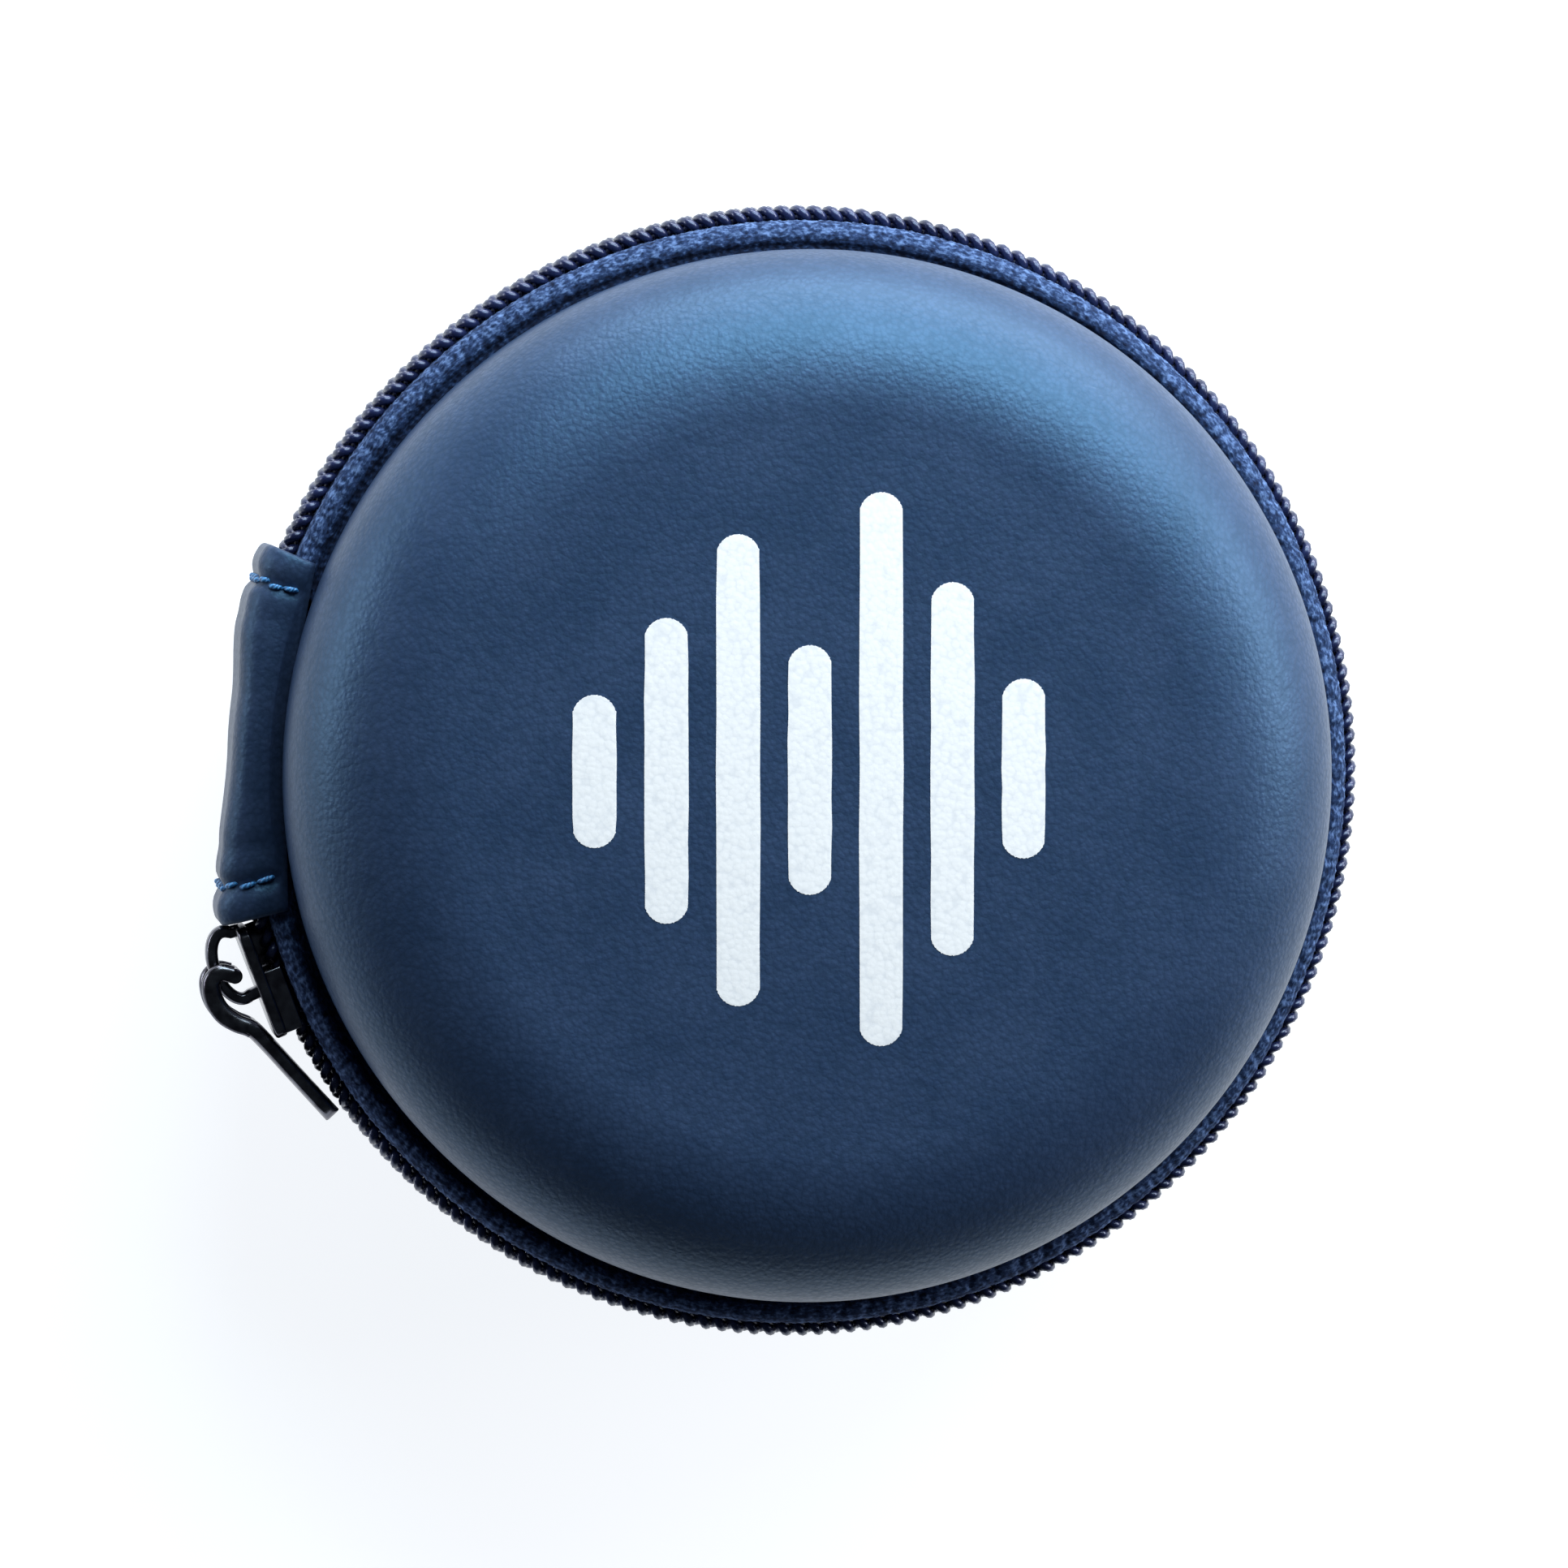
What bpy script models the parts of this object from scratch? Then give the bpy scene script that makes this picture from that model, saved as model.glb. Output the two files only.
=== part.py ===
"""Round zip-up earbud case: two moulded shells, a coil zip round the rim and a leather hinge strip.

Metres, +Z up through the lid. The origin is the centre of the flat bottom, the hinge strip is
centred on -X, and the zip's mid-plane is at half the height. Each half is a laminate: leather
skin, foam shell and lining. A point of a half's outline is (radius, distance from the mid-plane).
"""

import math

import bmesh
import bpy
from mathutils import Matrix

MM = 0.001

# Driving dimensions of the closed case.
HALF_HEIGHT = 17.5 * MM
SHELL_RADIUS = 38.6 * MM  # outer face of the leather skin
EDGE_RADIUS = 9.6 * MM  # rounding between the flat face and the wall
RIM = 4.4 * MM  # each shell's lower edge, from the mid-plane
GAP = 0.3 * MM  # left between two pieces that touch
SKIN = 0.7 * MM
FOAM = 2.1 * MM
LINING = 0.5 * MM
ROUND_STEPS = 48

# The zip: tape folded over a shoulder, and the coil on its outer face.
COIL_RADIUS = 42.0 * MM  # outer face of the coil
COIL_DEPTH = 1.0 * MM
COIL_WIDTH = 1.95 * MM
COIL_START = 0.15 * MM  # from the mid-plane, where the rows are joined
PARTING = 0.95 * MM  # extra distance of a row where the slider's wedge opens it
TAPE = 0.5 * MM
TAPE_RADIUS = 40.45 * MM  # middle of the tape's upright part
TAPE_START = 0.35 * MM
TAPE_SHOULDER = 1.3 * MM
TAPE_LEVEL = 3.8 * MM  # middle of the tape's flat part
TAPE_INNER = 35.7 * MM
ZIP_TUCK = 3.85  # degrees of zip inside each end of the strip

# The hinge strip and the lining behind it, in degrees either side of -X.
STRIP_SPAN = 18.85
STRIP = 0.6 * MM
STRIP_RADIUS = 42.6 * MM
STRIP_LEVEL = 4.75 * MM
STRIP_SHOULDER = 2.0 * MM
STRIP_INNER = 39.3 * MM
STITCH_INSET = 3.6
THREAD = 0.2 * MM

# The binding that covers the raw edges inside.
BINDING = 0.4 * MM
BINDING_INNER = SHELL_RADIUS - SKIN - FOAM - LINING - 2 * GAP - 0.7 * MM

# The joints.
HINGE_X = -43.0 * MM
PARKED = 205.3  # degrees about +Z, the slider next to the strip's lower end
WEDGE_ENDS = 0.7  # degrees behind the slider's middle, where the rows have met
PLATE_RADIUS = 43.2 * MM  # outer face of the slider's front plate
PIVOT = (1.2 * MM, -1.1 * MM)  # the tab's axis, out from that face and along the zip

NAVY = (0.020, 0.036, 0.085)
DARK_NAVY = (0.010, 0.016, 0.040)
FOAM_BLACK = (0.02, 0.02, 0.022)
FABRIC_GREY = (0.06, 0.065, 0.08)
THREAD_BLUE = (0.16, 0.45, 0.80)
GUNMETAL = (0.05, 0.055, 0.07)


def clear_scene():
    for obj in list(bpy.data.objects):
        bpy.data.objects.remove(obj, do_unlink=True)


def new_collection(name):
    collection = bpy.data.collections.new(name)
    bpy.context.scene.collection.children.link(collection)
    return collection


def material(name, colour, roughness, metallic=0.0):
    made = bpy.data.materials.new(name)
    made.use_nodes = True
    shader = made.node_tree.nodes["Principled BSDF"]
    shader.inputs["Base Color"].default_value = (*colour, 1.0)
    shader.inputs["Roughness"].default_value = roughness
    shader.inputs["Metallic"].default_value = metallic
    return made


def place(name, data, surface, collection, parent=None):
    """A new object of this data. Its parent's move is undone, so the data stays in world space."""
    obj = bpy.data.objects.new(name, data)
    collection.objects.link(obj)
    if surface:
        data.materials.append(surface)
    if parent:
        obj.parent = parent
        obj.matrix_parent_inverse = parent.matrix_world.inverted()
    return obj


def mesh_of(bm, name):
    mesh = bpy.data.meshes.new(name)
    bm.to_mesh(mesh)
    bm.free()
    return mesh


def outline_mesh(name, points, closed):
    """The (radius, height) points as edges in the XZ plane, for a Screw modifier."""
    bm = bmesh.new()
    verts = [bm.verts.new((r, 0.0, z)) for r, z in points]
    for a, b in zip(verts, verts[1:]):
        bm.edges.new((a, b))
    if closed:
        bm.edges.new((verts[-1], verts[0]))
    return mesh_of(bm, name)


def turn(obj, degrees=360.0, steps=ROUND_STEPS):
    """Turns the outline about the object's Z axis."""
    screw = obj.modifiers.new("turn", "SCREW")
    screw.angle = math.radians(degrees)
    screw.steps = screw.render_steps = steps
    screw.use_merge_vertices = True
    screw.merge_threshold = 0.00001


def thicken(obj, thickness, offset):
    solid = obj.modifiers.new("thickness", "SOLIDIFY")
    solid.thickness = thickness
    solid.offset = offset
    solid.use_even_offset = True


def bevel(obj, width, segments=2):
    edge = obj.modifiers.new("edge", "BEVEL")
    edge.width = width
    edge.segments = segments


def join(obj, others):
    """Unites the others, which are helpers, with obj."""
    for other in others:
        union = obj.modifiers.new(other.name, "BOOLEAN")
        union.operation = "UNION"
        union.object = other
        other.hide_render = True
        other.display_type = "WIRE"


def arc(centre, radius, start, end, steps):
    """Points from one angle to another in degrees, measured from +radius towards +height."""
    angles = [math.radians(start + (end - start) * i / steps) for i in range(steps + 1)]
    return [(centre[0] + radius * math.cos(a), centre[1] + radius * math.sin(a)) for a in angles]


def in_half(side, points):
    """Outline of a half in the world: side is 1 for the lid and -1 for the base. It runs down
    the outer side, as a turned shape needs, so the base's mirror image is taken backwards."""
    placed = [(r, HALF_HEIGHT + side * h) for r, h in points]
    return placed if side > 0 else placed[::-1]


def shell_layer(name, side, depth, thickness, steps, surface, collection, parent):
    """One layer of a half: a flat face, a rounded edge and an upright wall down to the rim."""
    centre = (SHELL_RADIUS - EDGE_RADIUS, HALF_HEIGHT - EDGE_RADIUS)
    outline = [(0.0, HALF_HEIGHT - depth)]
    outline += arc(centre, EDGE_RADIUS - depth, 90, 0, steps)
    outline += [(SHELL_RADIUS - depth, RIM)]
    mesh = outline_mesh(name, in_half(side, outline), closed=False)
    obj = place(name, mesh, surface, collection, parent)
    turn(obj)
    thicken(obj, thickness, -1.0)
    return obj


def ring_piece(name, side, section, surface, collection, parent):
    """A closed section turned all the way round."""
    mesh = outline_mesh(name, in_half(side, section), closed=True)
    obj = place(name, mesh, surface, collection, parent)
    turn(obj)
    return obj


def loft(name, rings, surface, collection, parent=None):
    """A closed solid through rings of equally many points, capped at both ends."""
    bm = bmesh.new()
    rows = [[bm.verts.new(point) for point in ring] for ring in rings]
    count = len(rings[0])
    for row, following in zip(rows, rows[1:]):
        for i in range(count):
            j = (i + 1) % count
            bm.faces.new((row[i], row[j], following[j], following[i]))
    bm.faces.new(rows[0])
    bm.faces.new(rows[-1])
    bmesh.ops.recalc_face_normals(bm, faces=bm.faces)
    return place(name, mesh_of(bm, name), surface, collection, parent)


def at_angle(degrees, radius, z):
    a = math.radians(degrees)
    return (radius * math.cos(a), radius * math.sin(a), z)


def zip_angles():
    """From inside the strip's lower end, round past the slider, to inside its upper end."""
    first = 180 + STRIP_SPAN - ZIP_TUCK
    last = 540 - STRIP_SPAN + ZIP_TUCK
    start = PARKED - WEDGE_ENDS
    opening = [first, 0.5 * (first + start - 2.0), start - 2.0, start - 1.0, start]
    steps = 44
    return opening + [start + (last - start) * (i + 1) / steps for i in range(steps)]


def parting(degrees):
    """How far a row is pushed off the mid-plane: whole from the strip to the slider's wedge."""
    x = min(max((PARKED - WEDGE_ENDS - degrees) / 2.0, 0.0), 1.0)
    return PARTING * x * x * (3 - 2 * x)


def zip_coil(name, side, surface, collection, parent):
    rings = []
    for degrees in zip_angles():
        low = COIL_START + parting(degrees)
        high = low + COIL_WIDTH
        middle = 0.5 * (low + high)
        outer = COIL_RADIUS
        inner = COIL_RADIUS - COIL_DEPTH
        chamfer = 0.3 * COIL_WIDTH
        section = [
            (inner, low),
            (outer - 0.1 * MM, low),
            (outer, middle),
            (outer - 0.1 * MM, high - 0.3 * chamfer),
            (inner + 0.5 * COIL_DEPTH, high),
            (inner, high),
        ]
        rings.append([at_angle(degrees, r, HALF_HEIGHT + side * h) for r, h in section])
    return loft(name, rings, surface, collection, parent)


def zip_tape(name, side, surface, collection, parent):
    """Flat under the shell's rim, rounded over the shoulder, then upright behind the coil."""
    half = 0.5 * TAPE
    centre = (TAPE_RADIUS - TAPE_SHOULDER, TAPE_LEVEL - TAPE_SHOULDER)
    rings = []
    for degrees in zip_angles():
        low = TAPE_START + parting(degrees)
        outer = [(TAPE_INNER, TAPE_LEVEL + half)]
        outer += arc(centre, TAPE_SHOULDER + half, 90, 0, 3) + [(TAPE_RADIUS + half, low)]
        inner = [(TAPE_RADIUS - half, low)]
        inner += arc(centre, TAPE_SHOULDER - half, 0, 90, 3) + [(TAPE_INNER, TAPE_LEVEL - half)]
        rings.append([at_angle(degrees, r, HALF_HEIGHT + side * h) for r, h in outer + inner])
    return loft(name, rings, surface, collection, parent)


def rim_binding(name, side, surface, collection, parent):
    """Folded tape that covers the raw edges inside: upright over the lining, flat below the rim."""
    outer = SHELL_RADIUS - 0.2 * MM
    low = TAPE_LEVEL - 0.5 * TAPE - GAP - BINDING
    high = RIM + 2.6 * MM
    section = [
        (BINDING_INNER, high),
        (BINDING_INNER + BINDING, high),
        (BINDING_INNER + BINDING, low + BINDING),
        (outer, low + BINDING),
        (outer, low),
        (BINDING_INNER, low),
    ]
    return ring_piece(name, side, section, surface, collection, parent)


def seam_thread(name, side, surface, collection, parent):
    """The line of sewing thread that runs round the binding."""
    centre = (BINDING_INNER - GAP - THREAD, RIM + 0.8 * MM)
    section = arc(centre, THREAD, 90, -180, 3)
    return ring_piece(name, side, section, surface, collection, parent)


def strip_outline():
    """The leather strip's middle face: from the lid's seam over both shoulders to the base's."""
    centre = (STRIP_RADIUS - STRIP_SHOULDER, STRIP_LEVEL - STRIP_SHOULDER)
    upper = [(STRIP_INNER, STRIP_LEVEL)] + arc(centre, STRIP_SHOULDER, 90, 0, 4)
    lower = [(r, -h) for r, h in reversed(upper)]
    return [(r, HALF_HEIGHT + h) for r, h in upper + lower]


def hinge_band(name, outline, span, thickness, surface, collection):
    """An open outline turned through the hinge's angle and thickened, as a bent sheet."""
    obj = place(name, outline_mesh(name, outline, closed=False), surface, collection)
    obj.rotation_euler.z = math.radians(180 - span)
    turn(obj, 2 * span, 8)
    thicken(obj, thickness, 0.0)
    return obj


def stitch_row(name, degrees, surface, collection):
    """One thread over the strip, near an end: a tube along the strip's outline."""
    curve = bpy.data.curves.new(name, "CURVE")
    curve.dimensions = "3D"
    curve.bevel_depth = THREAD
    curve.bevel_resolution = 1
    curve.use_fill_caps = True
    lift = 0.5 * STRIP + GAP + THREAD
    centre = (STRIP_RADIUS - STRIP_SHOULDER, STRIP_LEVEL - STRIP_SHOULDER)
    upper = arc(centre, STRIP_SHOULDER + lift, 90, 0, 5)
    path = upper + [(r, -h) for r, h in reversed(upper)]
    spline = curve.splines.new("POLY")
    spline.points.add(len(path) - 1)
    for point, (r, h) in zip(spline.points, path):
        point.co = (*at_angle(degrees, r, HALF_HEIGHT + h), 1.0)
    return place(name, curve, surface, collection)


def flat_outline(name, loops, thickness, surface, collection):
    """A flat plate in its own XY plane, from closed loops of points; an inner loop is a hole."""
    curve = bpy.data.curves.new(name, "CURVE")
    curve.dimensions = "2D"
    curve.fill_mode = "BOTH"
    curve.extrude = 0.5 * thickness
    for loop in loops:
        spline = curve.splines.new("POLY")
        spline.points.add(len(loop) - 1)
        spline.use_cyclic_u = True
        for point, (x, y) in zip(spline.points, loop):
            point.co = (x, y, 0.0, 1.0)
    return place(name, curve, surface, collection)


def mesh_pocket(surface, collection, parent):
    """Net sewn across the hinge side of the lid, open along a straight elastic hem."""
    radius = 34.3 * MM
    chord = 8.0 * MM
    turn_from = math.degrees(math.acos(chord / radius))
    loop = arc((0.0, 0.0), radius, turn_from, 360 - turn_from, 36)
    obj = flat_outline("mesh_pocket", [loop], 0.4 * MM, surface, collection)
    obj.parent = parent
    obj.matrix_parent_inverse = parent.matrix_world.inverted()
    obj.location.z = HALF_HEIGHT + 7.8 * MM
    return obj


def pocket_elastic(surface, collection, parent):
    bm = bmesh.new()
    bmesh.ops.create_cone(
        bm, cap_ends=True, segments=10, radius1=0.6 * MM, radius2=0.6 * MM, depth=65.6 * MM
    )
    obj = place("pocket_elastic", mesh_of(bm, "pocket_elastic"), surface, collection, parent)
    obj.location = (8.9 * MM, 0.0, HALF_HEIGHT + 7.8 * MM)
    obj.rotation_euler.x = math.radians(90)
    return obj


def block(name, low, high, tail_width, collection):
    """A box from its two corners. Its width in Z at the tail, +Y, is tail_width of the nose's."""
    bm = bmesh.new()
    size = [b - a for a, b in zip(low, high)]
    centre = [0.5 * (a + b) for a, b in zip(low, high)]
    bmesh.ops.create_cube(bm, size=1.0, matrix=Matrix.Diagonal((*size, 1.0)))
    for vert in bm.verts:
        if vert.co.y > 0:
            vert.co.z *= tail_width
    bmesh.ops.translate(bm, verts=bm.verts, vec=centre)
    return place(name, mesh_of(bm, name), None, collection)


def wedge(collection):
    """The diamond post between the plates, which parts the two rows."""
    bm = bmesh.new()
    bmesh.ops.create_cone(bm, cap_ends=True, segments=4, radius1=1.0, radius2=1.0, depth=1.0)
    for vert in bm.verts:
        across, along, through = vert.co.x * 0.7 * MM, vert.co.y * 1.05 * MM, vert.co.z * 3.0 * MM
        vert.co = (40.95 * MM + through, -3.2 * MM + along, across)
    bmesh.ops.recalc_face_normals(bm, faces=bm.faces)
    return place("slider_wedge", mesh_of(bm, "slider_wedge"), None, collection)


def band(name, path, thickness, width, surface, collection):
    """A bar of rectangular section along a path of (along the zip, out of the plate) points."""
    rings = []
    for i, (along, out) in enumerate(path):
        before, after = path[max(i - 1, 0)], path[min(i + 1, len(path) - 1)]
        run = (after[0] - before[0], after[1] - before[1])
        length = math.hypot(*run)
        shift = (-run[1] / length * 0.5 * thickness, run[0] / length * 0.5 * thickness)
        high = (PLATE_RADIUS + out + shift[1], along + shift[0])
        low = (PLATE_RADIUS + out - shift[1], along - shift[0])
        half = 0.5 * width
        rings.append([(*low, -half), (*low, half), (*high, half), (*high, -half)])
    return loft(name, rings, surface, collection)


def bridge(collection):
    """The arch on the front plate, nearer the nose, that the pull tab hangs on."""
    nose_foot = [(-3.8 * MM, -0.3 * MM)]
    tail_foot = [(0.95 * MM, 0.35 * MM), (1.05 * MM, -0.3 * MM)]
    crown = [
        (-1.75 * MM + 2.65 * MM * x, 0.95 * MM + 1.5 * MM * y)
        for x, y in arc((0.0, 0.0), 1.0, 205, -10, 12)
    ]
    path = nose_foot + crown + tail_foot
    return band("slider_bridge", path, 0.75 * MM, 1.6 * MM, None, collection)


def slider(surface, collection, helpers):
    """Front and back plate, wedge, side flanges and bridge, cast as one piece. Its origin is on
    the ring's axis, its X axis points out and its Y axis points along the zip to the tail."""
    plate = block(
        "slider_body",
        (42.3 * MM, -4.3 * MM, -3.3 * MM),
        (PLATE_RADIUS, 4.3 * MM, 3.3 * MM),
        0.94,
        collection,
    )
    plate.data.materials.append(surface)
    bevel(plate, 0.3 * MM)
    back = block(
        "slider_back",
        (38.95 * MM, -4.1 * MM, -2.9 * MM),
        (39.7 * MM, 4.1 * MM, 2.9 * MM),
        0.85,
        helpers,
    )
    bevel(back, 0.2 * MM)
    flanges = [
        block(
            f"slider_flange_{side}",
            (41.05 * MM, -0.45 * MM, low),
            (42.6 * MM, 4.1 * MM, low + 0.45 * MM),
            1.0,
            helpers,
        )
        for side, low in (("lid", 2.45 * MM), ("base", -2.9 * MM))
    ]
    join(plate, [back, wedge(helpers), *flanges, bridge(helpers)])
    plate.location.z = HALF_HEIGHT
    plate.rotation_euler.z = math.radians(PARKED)
    for helper in (back, *flanges, helpers.objects["slider_wedge"], helpers.objects["slider_bridge"]):
        helper.location.z = HALF_HEIGHT
        helper.rotation_euler.z = math.radians(PARKED)
    return plate


def pull_tab(surface, collection, helpers, body):
    """A straight blade whose root rises over the bridge and hooks back to an end bar under it.
    A window in the root lets the bridge through."""
    width = 4.6 * MM
    hook = [
        (PIVOT[1] - 0.25 * MM, PIVOT[0] + 0.1 * MM),
        (-1.95 * MM, 2.1 * MM),
        (-1.3 * MM, 2.95 * MM),
        (-0.1 * MM, 3.25 * MM),
        (1.2 * MM, 3.0 * MM),
        (2.2 * MM, 2.3 * MM),
        (3.0 * MM, 1.45 * MM),
        (4.2 * MM, 0.85 * MM),
        (11.2 * MM, -1.9 * MM),
    ]
    obj = band("pull_tab", hook, 1.0 * MM, width, surface, collection)
    window = block(
        "tab_window",
        (PLATE_RADIUS, -3.2 * MM, -1.15 * MM),
        (PLATE_RADIUS + 5.0 * MM, 2.75 * MM, 1.15 * MM),
        1.0,
        helpers,
    )
    bm = bmesh.new()
    bmesh.ops.create_cone(
        bm, cap_ends=True, segments=12, radius1=0.5 * MM, radius2=0.5 * MM, depth=width - 0.2 * MM
    )
    bmesh.ops.translate(bm, verts=bm.verts, vec=(PLATE_RADIUS + PIVOT[0], PIVOT[1], 0.0))
    end_bar = place("tab_end_bar", mesh_of(bm, "tab_end_bar"), None, helpers)
    cut = obj.modifiers.new("window", "BOOLEAN")
    cut.operation = "DIFFERENCE"
    cut.object = window
    join(obj, [end_bar])
    # The meshes are made in the slider's frame, then moved so that the origin is the pivot.
    pivot = Matrix.Translation((PLATE_RADIUS + PIVOT[0], PIVOT[1], 0.0))
    for piece in (obj, window, end_bar):
        piece.data.transform(pivot.inverted())
        piece.parent = body
        piece.matrix_local = pivot
    window.hide_render = True
    window.display_type = "WIRE"
    return obj


def build():
    clear_scene()
    case = new_collection("earbud_case")
    helpers = new_collection("helpers")

    hinge = bpy.data.objects.new("lid_hinge_axis", None)
    hinge.location = (HINGE_X, 0.0, HALF_HEIGHT)
    case.objects.link(hinge)
    bpy.context.view_layer.update()

    leather = material("leather", NAVY, 0.45)
    foam = material("foam", FOAM_BLACK, 0.9)
    fabric = material("fabric", FABRIC_GREY, 0.9)
    tape = material("zip_tape", NAVY, 0.8)
    coil = material("zip_coil", DARK_NAVY, 0.3)
    binding = material("binding", DARK_NAVY, 0.85)
    seam = material("seam_thread", DARK_NAVY, 0.6)
    net = material("net", DARK_NAVY, 0.7)
    elastic = material("elastic", DARK_NAVY, 0.75)
    blue_thread = material("blue_thread", THREAD_BLUE, 0.5)
    metal = material("gunmetal", GUNMETAL, 0.25, 1.0)

    for half, side, parent in (("base", -1, None), ("lid", 1, hinge)):
        foam_depth = SKIN + GAP
        lining_depth = foam_depth + FOAM + GAP
        shell_layer(f"{half}_skin", side, 0.0, SKIN, 5, leather, case, parent)
        shell_layer(f"{half}_foam_shell", side, foam_depth, FOAM, 4, foam, case, parent)
        shell_layer(f"{half}_lining", side, lining_depth, LINING, 4, fabric, case, parent)
        rim_binding(f"{half}_rim_binding", side, binding, case, parent)
        seam_thread(f"{half}_seam_thread", side, seam, case, parent)
        zip_tape(f"{half}_zip_tape", side, tape, case, parent)
        zip_coil(f"{half}_zip_coil", side, coil, case, parent)

    mesh_pocket(net, case, hinge)
    pocket_elastic(elastic, case, hinge)

    hinge_band("hinge_strip", strip_outline(), STRIP_SPAN, STRIP, leather, case)
    lining_half = TAPE_LEVEL - 0.5 * TAPE - BINDING - 2 * GAP
    lining_outline = [(37.5 * MM, HALF_HEIGHT + lining_half), (37.5 * MM, HALF_HEIGHT - lining_half)]
    hinge_band("hinge_lining", lining_outline, STRIP_SPAN - 1.0, LINING, fabric, case)
    stitch_row("hinge_stitches_upper", 180 - STRIP_SPAN + STITCH_INSET, blue_thread, case)
    stitch_row("hinge_stitches_lower", 180 + STRIP_SPAN - STITCH_INSET, blue_thread, case)

    body = slider(metal, case, helpers)
    pull_tab(metal, case, helpers, body)


build()
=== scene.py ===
"""Round zip-up earbud case: the looks of every piece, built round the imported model.

Metres, +Z up through the lid, the hinge strip on -X. A piece is a grid of points worked out from
two parameters, or a section carried along a path; a section of this file makes one kind of piece.
"""

import math

import bmesh
import bpy
import numpy as np
from mathutils import Matrix, Vector


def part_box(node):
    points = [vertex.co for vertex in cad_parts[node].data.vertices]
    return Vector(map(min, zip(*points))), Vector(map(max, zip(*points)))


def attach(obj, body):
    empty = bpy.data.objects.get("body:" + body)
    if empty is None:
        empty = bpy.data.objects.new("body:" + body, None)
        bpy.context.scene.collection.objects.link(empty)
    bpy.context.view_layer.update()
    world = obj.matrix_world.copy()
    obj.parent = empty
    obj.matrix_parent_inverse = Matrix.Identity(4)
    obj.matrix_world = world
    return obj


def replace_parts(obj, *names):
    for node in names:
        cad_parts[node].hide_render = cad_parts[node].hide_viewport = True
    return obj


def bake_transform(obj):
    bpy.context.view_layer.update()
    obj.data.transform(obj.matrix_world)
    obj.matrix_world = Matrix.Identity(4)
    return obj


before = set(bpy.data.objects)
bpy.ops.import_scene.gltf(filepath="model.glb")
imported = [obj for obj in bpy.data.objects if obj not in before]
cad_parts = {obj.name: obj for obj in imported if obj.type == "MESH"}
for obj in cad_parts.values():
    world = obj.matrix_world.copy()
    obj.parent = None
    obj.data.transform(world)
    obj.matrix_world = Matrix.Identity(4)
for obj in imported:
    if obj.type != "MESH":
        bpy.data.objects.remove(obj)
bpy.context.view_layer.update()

# ---- Skins -------------------------------------------------------------------------------------
# The two outer skins are navy PU leather with a fine pebbled grain, heat-moulded into a round dish
# and trimmed at the rim. Everything else in the case is laminated, sewn or closed on to them.
MM = 0.001
BODY = {1: "lid", -1: "base"}
MIDDLE = 0.5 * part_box("lid_skin")[1].z
HALF_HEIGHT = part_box("lid_skin")[1].z - MIDDLE
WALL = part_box("lid_skin")[1].x
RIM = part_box("lid_skin")[0].z - MIDDLE
EDGE, EDGE_WIDE = 9.6 * MM, 12.0 * MM  # height and width of the rounded edge
CROWN = 0.12 * MM  # how far the flat face falls towards its edge
SKIN = 0.7 * MM
AROUND = 240


class Signal:
    """An output socket of a material's node. An expression on signals adds Math nodes."""

    def __init__(self, finish, socket):
        self.finish, self.socket = finish, socket

    def math(self, operation, *inputs):
        return self.finish.node("Math", {"operation": operation}, dict(enumerate(inputs)))

    def __add__(self, other):
        return self.math("ADD", self, other)

    def __sub__(self, other):
        return self.math("SUBTRACT", self, other)

    def __rsub__(self, other):
        return self.math("SUBTRACT", other, self)

    def __mul__(self, other):
        return self.math("MULTIPLY", self, other)

    __radd__, __rmul__ = __add__, __mul__

    def sine(self):
        return self.math("SINE", self)

    def step(self, low, high):
        """0 below low, 1 above high and smooth between."""
        return self.finish.node(
            "MapRange", {"interpolation_type": "SMOOTHSTEP"}, {0: self, 1: low, 2: high}
        )


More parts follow.
